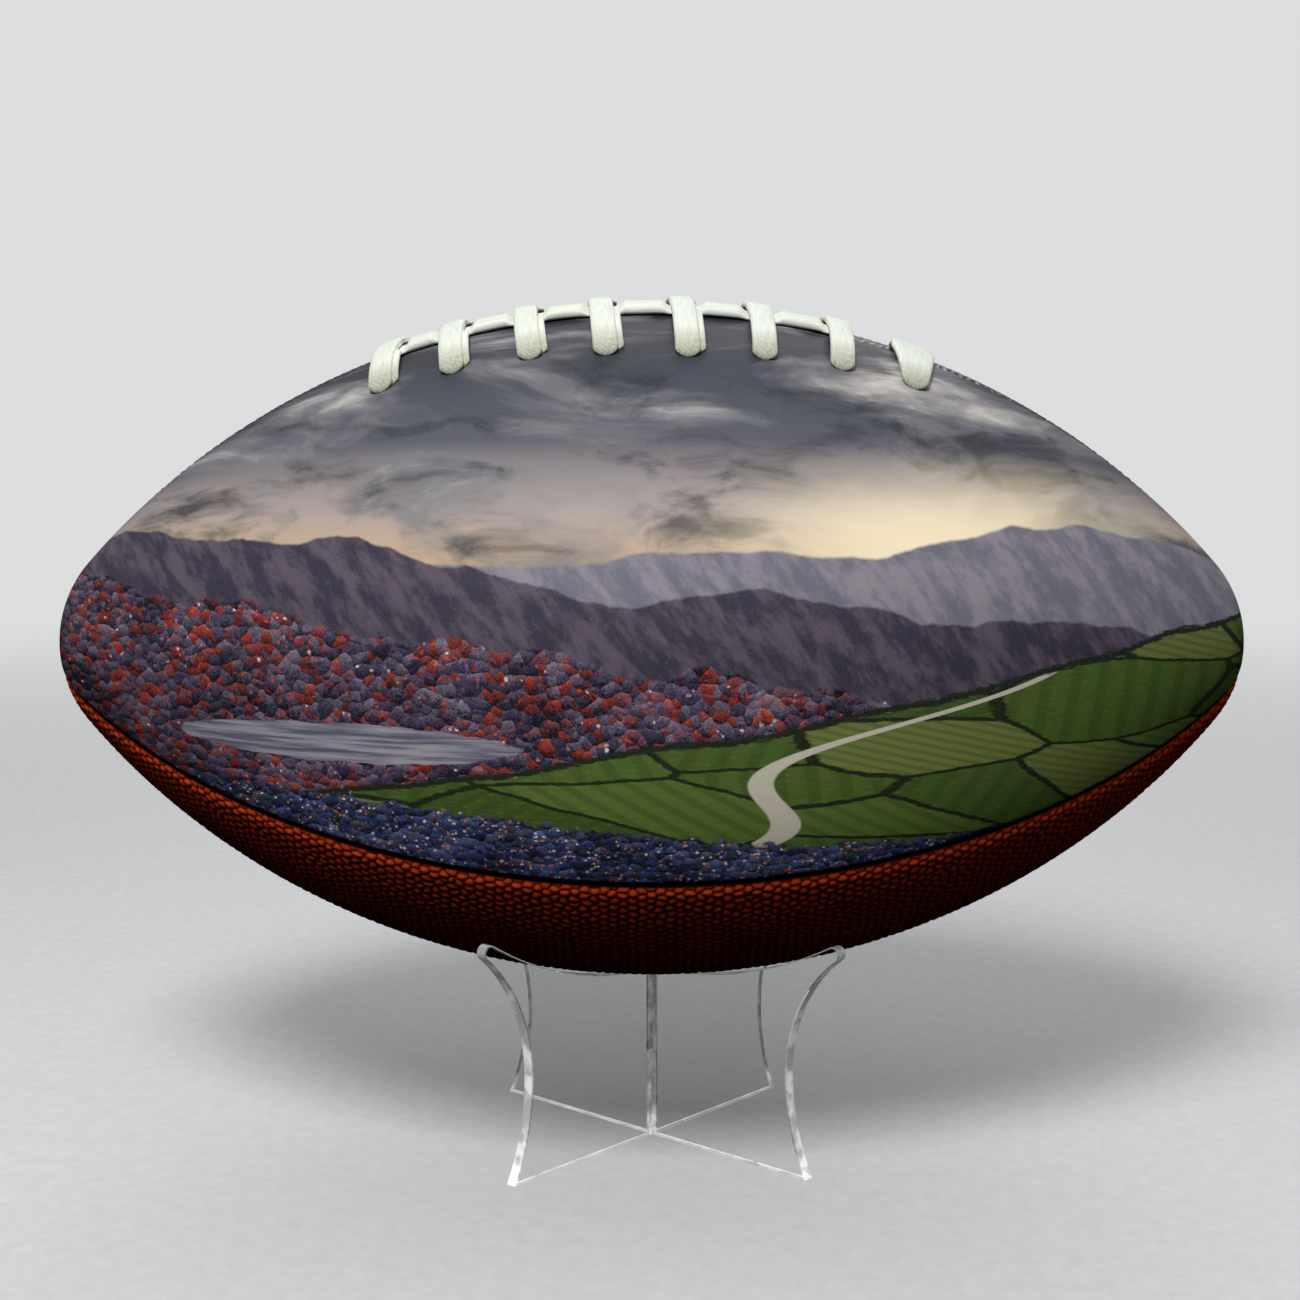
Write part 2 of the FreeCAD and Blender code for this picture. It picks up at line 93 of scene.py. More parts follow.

# Where the painted shade line at a seam, the painted highlight band beside it and the painted shade strip
# by the
# laces end, and where they are full: metres from the seam, and degrees from the lace seam
SEAM_SHADE_LINE = (0.0013, 0.0008)
PRINT_SHADE_LINE = (0.0009, 0.0005)
PAINTED_HIGHLIGHT_BAND = (0.0050, 0.0024)
LACE_SHADE_STRIP = (14.0, 9.5)

# Spacing of the panels' meshes: the print is smooth, and the grain is finest where it is seen closest
PICTURE_SPACING = 0.0012
FRONT_SPACING = 0.00036
REAR_SPACING = 0.00060

# Valve, behind the laces: the hole in the leather around its neck
VALVE_TURN = 50.0
VALVE_HOLE_RADIUS = 0.00335
VALVE_HOLE_EDGE = 0.0003
VALVE_HOLE_DEPTH = 0.85 * LEATHER

# Camera of the photograph: a square frame of 1300 pixels
FRAME_PIXELS = 1300.0
FOCAL_PIXELS = 2050.0
SENSOR = 36.0
CAMERA_PLACE = (-0.0004, -0.4966, 0.1744)
CAMERA_TILT = 6.13

# The ball's outline follows from the driving sizes
TIP_CENTRE = BALL_LENGTH / 2 - TIP_RADIUS
SIDE_RADIUS = (TIP_CENTRE**2 + BALL_RADIUS**2 - TIP_RADIUS**2) / (2 * (BALL_RADIUS - TIP_RADIUS))
SIDE_DROP = SIDE_RADIUS - BALL_RADIUS
TIP_START = math.asin(TIP_CENTRE / (SIDE_RADIUS - TIP_RADIUS))
SIDE_LENGTH = SIDE_RADIUS * TIP_START
HALF_OUTLINE = SIDE_LENGTH + TIP_RADIUS * (math.pi / 2 - TIP_START)

BALL_CENTRE = np.array([0, 0, BALL_HEIGHT])
random_source = np.random.default_rng(7)


def outline(distance):
    """Along-axis place, girth radius and normal of the ball's outline, by distance from its crown."""
    side = np.sign(distance)
    reach = np.abs(distance)
    on_tip = reach > SIDE_LENGTH
    slope = np.where(on_tip, TIP_START + (reach - SIDE_LENGTH) / TIP_RADIUS, reach / SIDE_RADIUS)
    x = np.where(on_tip, TIP_CENTRE + TIP_RADIUS * np.sin(slope), SIDE_RADIUS * np.sin(slope))
    girth = np.where(on_tip, TIP_RADIUS * np.cos(slope), SIDE_RADIUS * np.cos(slope) - SIDE_DROP)
    return side * x, girth, side * np.sin(slope), np.cos(slope)


def in_row_frame(x, girth, angle):
    """Points of the row frame from a place along the ball, a girth radius and an angle around it."""
    return np.stack([x, -girth * np.cos(angle), BALL_HEIGHT + girth * np.sin(angle)], axis=-1)


def new_object(name, points, faces, body, replaced, material):
    """A smooth-shaded mesh that rides on a body and stands for a CAD node."""
    mesh = bpy.data.meshes.new(name)
    mesh.from_pydata(points, [], faces)
    mesh.validate()
    mesh.shade_smooth()
    piece = bpy.data.objects.new(name, mesh)
    bpy.context.scene.collection.objects.link(piece)
    mesh.materials.append(material)
    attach(piece, body)
    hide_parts(replaced)
    return piece


def keep_values(piece, name, values):
    """Keeps a number at each of a mesh's points, for its material to read."""
    attribute = piece.data.attributes.new(name, "FLOAT", "POINT")
    attribute.data.foreach_set("value", values.astype(np.float32).ravel())


def tube_faces(rings, loop, start=0):
    """Quads between closed rings of points, with a face over each end."""
    faces = []
    for i in range(rings - 1):
        a = start + i * loop
        for j in range(loop):
            k = (j + 1) % loop
            faces.append((a + j, a + loop + j, a + loop + k, a + k))
    faces.append(tuple(start + j for j in range(loop)))
    last = start + (rings - 1) * loop
    faces.append(tuple(last + j for j in reversed(range(loop))))
    return faces


def pebble_seeds(start, end):
    """Middles of the grain's pebbles on a panel: rows along the ball, offset in turn and jittered."""
    rows = int(2 * HALF_OUTLINE / (PEBBLE_PITCH * PEBBLE_ROWS))
    seeds = []
    for row in range(rows):
        distance = -HALF_OUTLINE + (row + 0.5) * 2 * HALF_OUTLINE / rows
        _, girth, _, _ = outline(np.array([distance]))
        count = max(1, int(round(math.radians(end - start) * girth[0] / PEBBLE_PITCH)))
        places = (np.arange(count) + 0.25 + 0.5 * (row % 2)) / count
        places = places + random_source.normal(0, PEBBLE_JITTER, count) / count
        along = distance + random_source.normal(0, PEBBLE_JITTER * PEBBLE_PITCH, count)
        along = np.clip(along, -HALF_OUTLINE, HALF_OUTLINE)
        x, girth, _, _ = outline(along)
        seeds.append(in_row_frame(x, girth, np.radians(start + places * (end - start))))
    return np.concatenate(seeds)


def pebble_heights(points, seeds):
    """The grain's height at each point, from 0 in a crease to 1 on top of a pebble."""
    tree = kdtree.KDTree(len(seeds))
    for index, seed in enumerate(seeds):
        tree.insert(seed, index)
    tree.balance()
    to_crease = np.empty(len(points))
    for index, point in enumerate(points):
        (own, _, near), *others = tree.find_n(point, 3)
        to_crease[index] = min(
            (far**2 - near**2) / (2 * (other - own).length) for other, _, far in others
        )
    rise = np.clip(to_crease / (PEBBLE_FLANK * PEBBLE_PITCH), 0, 1)
    return 1 - (1 - rise)**2


def panel(name, start, end, spacing, grain, material):
    """A leather panel: a closed shell with rolled seam edges, and the grain's pebbles on its outside."""
    inner_steps = 7
    least_edge_steps = 8
    edge_share = 0.3
    flatter_at_seams = 0.35
    tip_thinning = 4 * LEATHER
    rings = int(2 * HALF_OUTLINE / spacing)
    angle = math.radians(end - start)
    across = int(angle * BALL_RADIUS / spacing)
    distance = np.linspace(-1, 1, rings) * (HALF_OUTLINE - TIP_TRIM)
    x, girth, normal_x, normal_r = outline(distance)
    width = girth * angle - 2 * SEAM_GAP
    roll = SEAM_ROLL if grain else SEAM_ROUND
    edge = np.minimum(roll, edge_share * width)
    edge_steps = max(least_edge_steps, int(roll * math.pi / 2 / spacing))
    turn = np.linspace(0, math.pi / 2, edge_steps)
    rim_in = edge[:, None] * (1 - np.cos(turn))
    rim_deep = np.minimum(SEAM_ROUND, edge)[:, None] * (1 - np.sin(turn))
    share = np.linspace(0, 1, across + 2)[1:-1]
    middle = edge[:, None] + (width - 2 * edge)[:, None] * share
    flat = np.zeros_like(middle)
    under = width[:, None] * np.linspace(1, 0, inner_steps)
    places = np.concatenate([rim_in, middle, width[:, None] - rim_in[:, ::-1], under], axis=1)
    depths = np.concatenate([rim_deep, flat, rim_deep[:, ::-1], np.full_like(under, LEATHER)], axis=1)
    tip_scale = np.minimum(1, girth / tip_thinning)[:, None]
    depths = depths * np.where(depths >= LEATHER, tip_scale, 1)
    outer = edge_steps * 2 + across
    valve_angle = math.radians(LACE_SEAM + VALVE_TURN)
    valve_way = np.array([0, -math.cos(valve_angle), math.sin(valve_angle)])
    around = np.radians(start) + (places + SEAM_GAP) / girth[:, None]

    def shape(sink):
        return in_row_frame(
            x[:, None] - normal_x[:, None] * sink, girth[:, None] - normal_r[:, None] * sink, around
        )

    rise = np.zeros_like(depths)
    if grain:
        heights = pebble_heights(shape(depths)[:, :outer].reshape(-1, 3), pebble_seeds(start, end))
        rise[:, :outer] = heights.reshape(rings, outer)
        fade = 1 - flatter_at_seams * np.clip(depths[:, :outer] / SEAM_ROUND, 0, 1)
        depths[:, :outer] += grain * fade * (1 - rise[:, :outer])
    skin = shape(np.zeros_like(depths)) - BALL_CENTRE
    from_valve = np.linalg.norm(np.cross(skin, valve_way), axis=-1)
    into_hole = (VALVE_HOLE_RADIUS + VALVE_HOLE_EDGE - from_valve) / (2 * VALVE_HOLE_EDGE)
    hole = np.where(skin @ valve_way > 0, np.clip(into_hole, 0, 1), 0)
    depths[:, :outer] += VALVE_HOLE_DEPTH * hole[:, :outer]
    points = shape(depths).reshape(-1, 3)
    loop = places.shape[1]
    piece = new_object(
        name, points.tolist(), tube_faces(rings, loop), "football", name + "_panel", material
    )
    keep_values(piece, "pebble", rise)
    keep_values(piece, "from_seam", np.minimum(places, width[:, None] - places))


class Graph:
    """Short names for building a material's nodes: a number is set on a socket, a socket is linked."""

    def __init__(self, name):
        self.material = bpy.data.materials.new(name)
        self.material.use_nodes = True
        self.nodes = self.material.node_tree.nodes
        self.links = self.material.node_tree.links
        self.shader = self.nodes["Principled BSDF"]

    def put(self, socket, value):
        """Links a socket, sets a number or colour, or leaves the default where there is none."""
        if isinstance(value, bpy.types.NodeSocket):
            self.links.new(value, socket)
        elif value is not None:
            if socket.type == "RGBA" and len(value) == 3:
                value = (*value, 1.0)
            socket.default_value = value

    def set(self, **inputs):
        """Puts values into the shader's own sockets."""
        for key, value in inputs.items():
            self.put(self.shader.inputs[key.replace("_", " ")], value)

    def math(self, operation, first, second=None, third=None):
        node = self.nodes.new("ShaderNodeMath")
        node.operation = operation
        for socket, value in zip(node.inputs, (first, second, third)):
            self.put(socket, value)
        return node.outputs[0]

    def total(self, *values):
        result = values[0]
        for value in values[1:]:
            result = self.math("ADD", result, value)
        return result

    def times(self, first, second):
        return self.math("MULTIPLY", first, second)

    def step(self, value, low, high):
        """0 below low and 1 above high, smooth between them; low may be the larger."""
        node = self.nodes.new("ShaderNodeMapRange")
        node.interpolation_type = "SMOOTHSTEP"
        for key, number in (("Value", value), ("From Min", low), ("From Max", high)):
            self.put(node.inputs[key], number)
        return node.outputs[0]

    def mix(self, share, first, second):
        """One colour at a share of 0 and the other at 1."""
        node = self.nodes.new("ShaderNodeMix")
        node.data_type = "RGBA"
        self.put(node.inputs[0], share)
        self.put(node.inputs[6], first)
        self.put(node.inputs[7], second)
        return node.outputs[2]

    def ramp(self, value, *stops):
        node = self.nodes.new("ShaderNodeValToRGB")
        elements = node.color_ramp.elements
        while len(elements) < len(stops):
            elements.new(0.5)
        for element, (place, colour) in zip(elements, stops):
            element.position = place
            element.color = (*colour, 1.0)
        self.put(node.inputs[0], value)
        return node.outputs[0]

    def point(self, x, y):
        node = self.nodes.new("ShaderNodeCombineXYZ")
        for socket, value in zip(node.inputs, (x, y)):
            self.put(socket, value)
        return node.outputs[0]

    def noise(self, place, scale, detail=4.0, roughness=0.55, distortion=0.0):
        node = self.nodes.new("ShaderNodeTexNoise")
        keys = ("Vector", "Scale", "Detail", "Roughness", "Distortion")
        for key, value in zip(keys, (place, scale, detail, roughness, distortion)):
            self.put(node.inputs[key], value)
        return node.outputs

    def cells(self, place, scale, feature="F1"):
        node = self.nodes.new("ShaderNodeTexVoronoi")
        node.feature = feature
        self.put(node.inputs["Vector"], place)
        self.put(node.inputs["Scale"], scale)
        return node.outputs

    def attribute(self, name):
        """A number that the mesh keeps at its points."""
        node = self.nodes.new("ShaderNodeAttribute")
        node.attribute_name = name
        return node.outputs["Fac"]

    def place(self):
        """The row frame's metres, on the surface at rest."""
        return self.nodes.new("ShaderNodeTexCoord").outputs["Object"]

    def parts(self, vector):
        node = self.nodes.new("ShaderNodeSeparateXYZ")
        self.put(node.inputs[0], vector)
        return node.outputs

    def shifted(self, vector, amount, noise_colour):
        """A vector moved by a noise colour, so that what is drawn there swirls."""
        node = self.nodes.new("ShaderNodeVectorMath")
        node.operation = "MULTIPLY_ADD"
        self.put(node.inputs[0], noise_colour)
        node.inputs[1].default_value = (amount, amount, 0.0)
        self.put(node.inputs[2], vector)
        return node.outputs[0]

    def scaled(self, colour, factor):
        node = self.nodes.new("ShaderNodeVectorMath")
        node.operation = "SCALE"
        self.put(node.inputs[0], colour)
        self.put(node.inputs["Scale"], factor)
        return node.outputs[0]

    def bump(self, height, distance, strength):
        node = self.nodes.new("ShaderNodeBump")
        self.put(node.inputs["Height"], height)
        self.put(node.inputs["Distance"], distance)
        self.put(node.inputs["Strength"], strength)
        return node.outputs[0]


def leather_material():
    """Pebbled red-brown leather with painted shade in its creases and along its seams, a painted highlight
    in a band beside the seams, and painted shade in a strip beside the laces.
    """
    g = Graph("leather")
    place = g.place()
    pebble = g.attribute("pebble")
    tone = g.noise(place, 45.0, 3.0)[0]
    fine = g.noise(place, 2600.0, 3.0)[0]
    # Colour by the grain's height: near-black painted shade in the creases, brighter red-brown on the
    # pebbles' tops
    base = g.ramp(
        pebble, (0.0, (0.015, 0.002, 0.001)), (0.35, (0.20, 0.018, 0.004)), (1.0, (0.50, 0.048, 0.009))
    )
    base = g.mix(g.times(g.step(tone, 0.40, 0.70), 0.35), base, (0.14, 0.015, 0.004))
    from_seam = g.attribute("from_seam")
    # Painted highlight: bright orange on the pebbles in a band beside each seam, standing in for the light
    # on the seam's shoulder; the band is also made glossier
    painted_highlight_band = g.times(g.step(from_seam, *PAINTED_HIGHLIGHT_BAND), g.step(pebble, 0.1, 0.6))
    base = g.mix(painted_highlight_band, base, (0.80, 0.082, 0.018))
    base = g.mix(g.times(g.step(fine, 0.55, 0.8), 0.20), base, (0.60, 0.11, 0.03))
    # Painted shade: a near-black strip on the leather along the lace seam, where the laces' shadow falls
    _, y, z = g.parts(place)
    turn = g.math("ARCTAN2", g.math("SUBTRACT", z, BALL_HEIGHT), g.times(y, -1.0))
    past_laces = g.math("ABSOLUTE", g.math("SUBTRACT", turn, math.radians(LACE_SEAM)))
    lace_shade_strip = g.step(past_laces, *(math.radians(angle) for angle in LACE_SHADE_STRIP))
    base = g.mix(lace_shade_strip, base, (0.026, 0.020, 0.019))
    # Painted shade: a near-black line along each seam, in its groove, where the leather is also kept from
    # shining
    seam_shade_line = g.step(from_seam, *SEAM_SHADE_LINE)
    base = g.mix(seam_shade_line, base, (0.004, 0.002, 0.002))
    dull = g.math("MULTIPLY_ADD", tone, 0.20, 0.24)
    g.set(Base_Color=base, Roughness=g.math("MULTIPLY_ADD", painted_highlight_band, -0.10, dull))
    shine = g.math("MULTIPLY_ADD", painted_highlight_band, 0.45, g.times(g.step(pebble, 0.2, 1.0), 0.40))
    g.set(Specular_IOR_Level=g.times(shine, g.math("SUBTRACT", 1.0, seam_shade_line)))
    g.set(Normal=g.bump(fine, 0.00008, 0.5))
    return g.material


def lace_material():
    """Off-white lace with fibres along it, fuzzier where it bends into the holes and greyed there by
    painted shade.
    """
    g = Graph("lace")
    place = g.place()
    along = g.times(g.attribute("along"), 1000.0)
    across = g.times(g.attribute("across"), 1000.0)
    shade_and_fuzz = g.attribute("shade_and_fuzz")
    fibre = g.noise(g.point(g.times(along, 0.12), g.times(across, 1.9)), 1.0, 5.0, 0.65)[0]
    over = g.math("MULTIPLY_ADD", along, 0.5, across)
    beside = g.math("MULTIPLY_ADD", across, -0.2, g.times(along, 0.2))
    slant = g.point(over, beside)
    fuzz = g.noise(slant, 2.4, 4.0, 0.65)[0]
    tone = g.noise(place, 160.0, 2.0)[0]
    base = g.ramp(
        fibre, (0.25, (0.52, 0.55, 0.47)), (0.55, (0.70, 0.73, 0.64)), (0.8, (0.78, 0.80, 0.73))
    )
    base = g.mix(g.times(g.step(tone, 0.45, 0.75), 0.30), base, (0.63, 0.65, 0.54))
    # Painted shade: the strap greys towards its ends, where it turns down into the holes
    end_shade = g.times(shade_and_fuzz, g.math("MULTIPLY_ADD", g.step(fuzz, 0.40, 0.62), 0.45, 0.50))
    base = g.mix(end_shade, base, (0.27, 0.28, 0.18))
    g.set(Base_Color=base, Roughness=0.72, Specular_IOR_Level=0.3)
    g.set(Sheen_Weight=0.15, Sheen_Roughness=0.5)
    rough = g.times(fuzz, g.math("MULTIPLY_ADD", shade_and_fuzz, 0.8, 0.2))
    g.set(Normal=g.bump(g.total(g.times(fibre, 0.5), rough), 0.00018, 0.7))
    return g.material


def acrylic_material(name, sheet_normal):
    """Clear cast sheet, whose frosted sawn edges look paler than its faces and carry a painted glow,
    brightest along the bottom edges.
    """
    g = Graph(name)
    facing = g.nodes.new("ShaderNodeVectorMath")
    facing.operation = "DOT_PRODUCT"
    g.put(facing.inputs[0], g.nodes.new("ShaderNodeNewGeometry").outputs["True Normal"])
    facing.inputs[1].default_value = sheet_normal
    edge = g.step(g.math("ABSOLUTE", facing.outputs["Value"]), 0.9, 0.5)
    place = g.place()
    cuts = g.noise(place, 190.0, 3.0, 0.6)[0]
    milky = g.times(edge, g.math("MULTIPLY_ADD", g.step(cuts, 0.40, 0.62), 0.45, 0.45))
    # Painted light: the frosted edges emit light, most near the floor, though nothing lights them from
    # inside
    underside = g.step(g.parts(place)[2], 0.006, 0.003)
    glow = g.times(milky, g.math("MULTIPLY_ADD", underside, 0.45, 0.22))
    g.set(Base_Color=(1.0, 1.0, 1.0), Roughness=g.times(edge, 0.10), IOR=1.49)
    g.set(Specular_IOR_Level=g.math("MULTIPLY_ADD", edge, 0.3, 0.2))
    g.set(Transmission_Weight=g.math("SUBTRACT", 1.0, milky))
    g.set(Emission_Color=(0.95, 0.97, 1.0), Emission_Strength=glow)
    return g.material


def plain_material(name, dark, light, scale, roughness, depth):
    """A hidden or small piece: two tones in a fine grain."""
    g = Graph(name)
    grain = g.noise(g.place(), scale, 4.0)[0]
    g.set(Base_Color=g.ramp(grain, (0.3, dark), (0.7, light)), Roughness=roughness)
    g.set(Normal=g.bump(grain, depth, 0.6))
    return g.material


def picture_material():
    """A printed view of farmland at dusk: clouds, hills, woods, a lake, a hillside and flowers."""
    g = Graph("printed_leather")
    x, y, z = g.parts(g.place())
    up = g.math("SUBTRACT", z, BALL_HEIGHT)
    out = g.times(y, -1.0)
    girth = g.math("SQRT", g.total(g.times(up, up), g.times(out, out)))
    u = g.times(x, 1000.0)
    v = g.times(g.times(girth, g.math("ARCTAN2", up, out)), 1000.0)
    flat = g.point(u, v)

    def skyline(height, slant, sway, scale, seed, detail=5.0):
        """The height of a rough line across the picture, level or slanting."""
        wave = g.noise(g.point(g.times(u, scale), seed), 1.0, detail, 0.5)[0]
        return g.math("MULTIPLY_ADD", wave, sway, g.math("MULTIPLY_ADD", u, slant, height))

    def below(line, soft):
        """1 under a line and 0 over it."""
        return g.step(g.math("SUBTRACT", v, line), soft, -soft)

    def clumps(size, hues, flecks):
        """Rounded clumps lit from above, in several hues, broken by brush strokes and by flecks."""
        bent = g.shifted(flat, size * 0.9, g.noise(flat, 0.5 / size, 3.0)[1])
        clump = g.cells(bent, 1.0 / size)
        hue = g.ramp(g.parts(clump["Color"])[0], *hues)
        height = g.math("SUBTRACT", g.parts(bent)[1], g.parts(clump["Position"])[1])
        stroke = g.noise(bent, 2.2 / size, 4.0, 0.65, 2.0)[0]
        broad = g.noise(flat, 0.06, 3.0)[0]
        light = g.total(g.times(height, 0.6 / size), g.times(stroke, 2.0), g.times(broad, 1.2), -1.35)
        tone = g.mix(g.step(light, -0.25, 0.75), (0.006, 0.006, 0.012), hue)
        tone = g.mix(g.times(g.step(light, 0.55, 1.1), 0.45), tone, (0.45, 0.42, 0.45))
        dab = g.cells(bent, 2.2 / size)
        pick = g.parts(dab[1])[1]
        inside = g.times(g.step(dab[0], 0.50, 0.28), g.step(light, -0.1, 0.5))
        for least, colour in flecks:
            tone = g.mix(g.times(inside, g.step(pick, least, least + 0.02)), tone, colour)
        return tone

    # Sky: a dark top, a warm glow low on the right and two layers of cloud
    picture = g.ramp(
        g.step(v, 14.0, 105.0),
        (0.0, (0.60, 0.42, 0.25)), (0.14, (0.36, 0.30, 0.28)),
        (0.40, (0.085, 0.088, 0.11)), (1.0, (0.016, 0.018, 0.026)),
    )
    drift = g.shifted(g.point(g.times(u, 0.013), g.times(v, 0.030)), 0.6, g.noise(flat, 0.012, 3.0)[1])
    bank = g.noise(drift, 1.3, 9.0, 0.58, 0.6)[0]
    picture = g.mix(g.step(bank, 0.46, 0.62), picture, (0.18, 0.178, 0.19))
    picture = g.mix(g.times(g.step(bank, 0.56, 0.72), 0.85), picture, (0.62, 0.57, 0.52))
    veil = g.noise(g.shifted(drift, 0.5, g.noise(flat, 0.03, 2.0)[1]), 2.1, 8.0, 0.6)[0]
    picture = g.mix(g.times(g.step(veil, 0.49, 0.66), 0.85), picture, (0.025, 0.027, 0.036))
    glow_u = g.times(g.math("SUBTRACT", u, 64.0), 0.017)
    glow_v = g.times(g.math("SUBTRACT", v, 26.0), 0.040)
    glow = g.math("SQRT", g.total(g.times(glow_u, glow_u), g.times(glow_v, glow_v)))
    glow = g.step(g.total(glow, g.times(bank, 0.5)), 1.4, 0.25)
    picture = g.mix(g.times(glow, 0.9), picture, (0.98, 0.84, 0.58))

    # Hills, hazier with distance
    slopes = g.point(g.math("MULTIPLY_ADD", v, 0.06, g.times(u, 0.10)), g.times(v, 0.05))
    crags = g.noise(slopes, 1.6, 9.0, 0.68)[0]
    far = g.mix(g.step(crags, 0.40, 0.62), (0.15, 0.145, 0.19), (0.26, 0.235, 0.27))
    picture = g.mix(below(skyline(14.0, 0.02, 24.0, 0.017, 3.1), 0.5), picture, far)
    near = g.mix(g.step(crags, 0.42, 0.60), (0.040, 0.034, 0.058), (0.105, 0.082, 0.110))
    picture = g.mix(below(skyline(8.0, -0.12, 22.0, 0.023, 8.4), 0.4), picture, near)

    # Autumn woods that come down from the left, and a lake among them
    wood_line = skyline(-6.0, -0.13, 16.0, 0.06, 5.7, 7.0)
    woods = clumps(
        2.3,
        ((0.0, (0.05, 0.04, 0.085)), (0.30, (0.11, 0.085, 0.15)), (0.52, (0.19, 0.155, 0.22)),
         (0.66, (0.21, 0.035, 0.03)), (0.80, (0.36, 0.045, 0.022)), (1.0, (0.13, 0.11, 0.17))),
        ((0.86, (0.55, 0.065, 0.025)), (0.96, (0.66, 0.60, 0.60))),
    )
    picture = g.mix(below(wood_line, 0.6), picture, woods)
    lake_u = g.times(g.math("ADD", u, 66.0), 0.026)
    lake_v = g.times(g.math("ADD", v, 15.0), 0.22)
    shore = g.times(g.noise(flat, 0.12, 3.0)[0], 0.7)
    lake = g.total(g.times(lake_u, lake_u), g.times(lake_v, lake_v), shore)
    gleam = g.noise(g.point(g.times(u, 0.05), g.times(v, 0.9)), 1.0, 4.0)[0]
    water = g.mix(g.step(gleam, 0.35, 0.65), (0.10, 0.105, 0.15), (0.33, 0.31, 0.35))
    picture = g.mix(g.step(lake, 1.35, 1.25), picture, water)

    # A hillside that climbs to the right, a patchwork of fields between hedges, with a pale track up it
    hill_line = skyline(-20.0, 0.17, 9.0, 0.02, 1.9, 2.0)
    slanted = g.point(g.times(g.math("MULTIPLY_ADD", v, 0.9, u), 0.022), g.times(v, 0.075))
    patch_place = g.shifted(slanted, 0.25, g.noise(flat, 0.03, 2.0)[1])
    crop = g.parts(g.cells(patch_place, 1.0)[1])[0]
    hedge = g.cells(patch_place, 1.0, "DISTANCE_TO_EDGE")[0]
    blades = g.noise(g.point(g.times(u, 0.4), g.times(v, 1.5)), 1.0, 5.0, 0.6)[0]
    fields = g.ramp(
        crop, (0.0, (0.045, 0.085, 0.015)), (0.4, (0.075, 0.13, 0.024)),
        (0.75, (0.11, 0.17, 0.035)), (1.0, (0.19, 0.20, 0.06)),
    )
    fields = g.mix(g.times(g.step(blades, 0.45, 0.75), 0.45), fields, (0.14, 0.20, 0.05))
    furrow_turn = g.math("MULTIPLY_ADD", crop, 6.0, -2.0)
    furrow = g.math("SINE", g.total(g.times(u, 0.9), g.times(v, furrow_turn)))
    fields = g.mix(g.times(g.step(furrow, -0.2, 0.8), 0.35), fields, (0.030, 0.055, 0.012))
    hedge = g.step(g.total(hedge, g.times(blades, 0.06)), 0.065, 0.045)
    fields = g.mix(hedge, fields, (0.016, 0.024, 0.010))
    climb = g.math("ADD", v, 46.0)
    track = g.total(g.times(g.math("SINE", g.times(climb, 0.17)), 15.0), g.times(climb, 1.7), -6.0)
    beside = g.math("ABSOLUTE", g.math("SUBTRACT", u, track))
    track_half = g.math("MULTIPLY_ADD", climb, -0.055, 4.0)
    fields = g.mix(g.step(g.math("SUBTRACT", beside, track_half), 0.4, -0.4), fields, (0.56, 0.51, 0.42))
    picture = g.mix(below(hill_line, 0.4), picture, fields)
    rim = g.math("ABSOLUTE", g.math("SUBTRACT", v, g.math("ADD", hill_line, 0.5)))
    picture = g.mix(g.step(g.total(rim, g.times(blades, 2.4)), 2.2, 1.6), picture, (0.016, 0.022, 0.012))

    # Flowers in front, deepest on the left
    waves = g.math("SINE", g.math("MULTIPLY_ADD", u, 0.021, 3.6))
    flower_top = g.math("MULTIPLY_ADD", waves, 6.0, -36.0)
    flower_top = g.math("MULTIPLY_ADD", g.noise(flat, 0.30, 3.0)[0], 7.0, flower_top)
    flowers = clumps(
        1.9,
        ((0.0, (0.025, 0.04, 0.11)), (0.35, (0.05, 0.08, 0.24)), (0.6, (0.10, 0.13, 0.30)),
         (0.75, (0.035, 0.06, 0.045)), (0.9, (0.13, 0.10, 0.20)), (1.0, (0.07, 0.12, 0.33))),
        ((0.70, (0.66, 0.22, 0.07)), (0.82, (0.72, 0.69, 0.66)), (0.94, (0.58, 0.10, 0.04))),
    )
    picture = g.mix(below(flower_top, 0.7), picture, flowers)

    # Painted light: lighter towards the lower seam, to make up for the shade where the ball turns from the
    # light
    picture = g.scaled(picture, g.math("MULTIPLY_ADD", g.step(v, 4.0, -46.0), 0.8, 1.0))
    grain = g.cells(g.place(), 470.0, "SMOOTH_F1")[0]
    ink = g.noise(g.place(), 3000.0, 2.0)[0]
    picture = g.mix(g.times(g.step(ink, 0.5, 0.75), 0.06), picture, (0.5, 0.48, 0.46))
    # Painted shade: a near-black line along the print's edge, in the groove of the seam
    seam_shade_line = g.step(g.attribute("from_seam"), *PRINT_SHADE_LINE)
    picture = g.mix(seam_shade_line, picture, (0.004, 0.004, 0.005))
    g.set(Base_Color=picture, Roughness=g.math("MULTIPLY_ADD", ink, 0.15, 0.42), Specular_IOR_Level=0.12)
    g.set(Normal=g.bump(grain, 0.00010, 0.30))
    return g.material


def section(half_width, half_thickness, count):
    """A flat lace's section: a rounded rectangle of points."""
    turn = np.linspace(0, 2 * math.pi, count, endpoint=False)
    wide = np.sign(np.cos(turn)) * np.abs(np.cos(turn))**0.45
    thick = np.sign(np.sin(turn)) * np.abs(np.sin(turn))**0.60
    return half_width * wide, half_thickness * thick


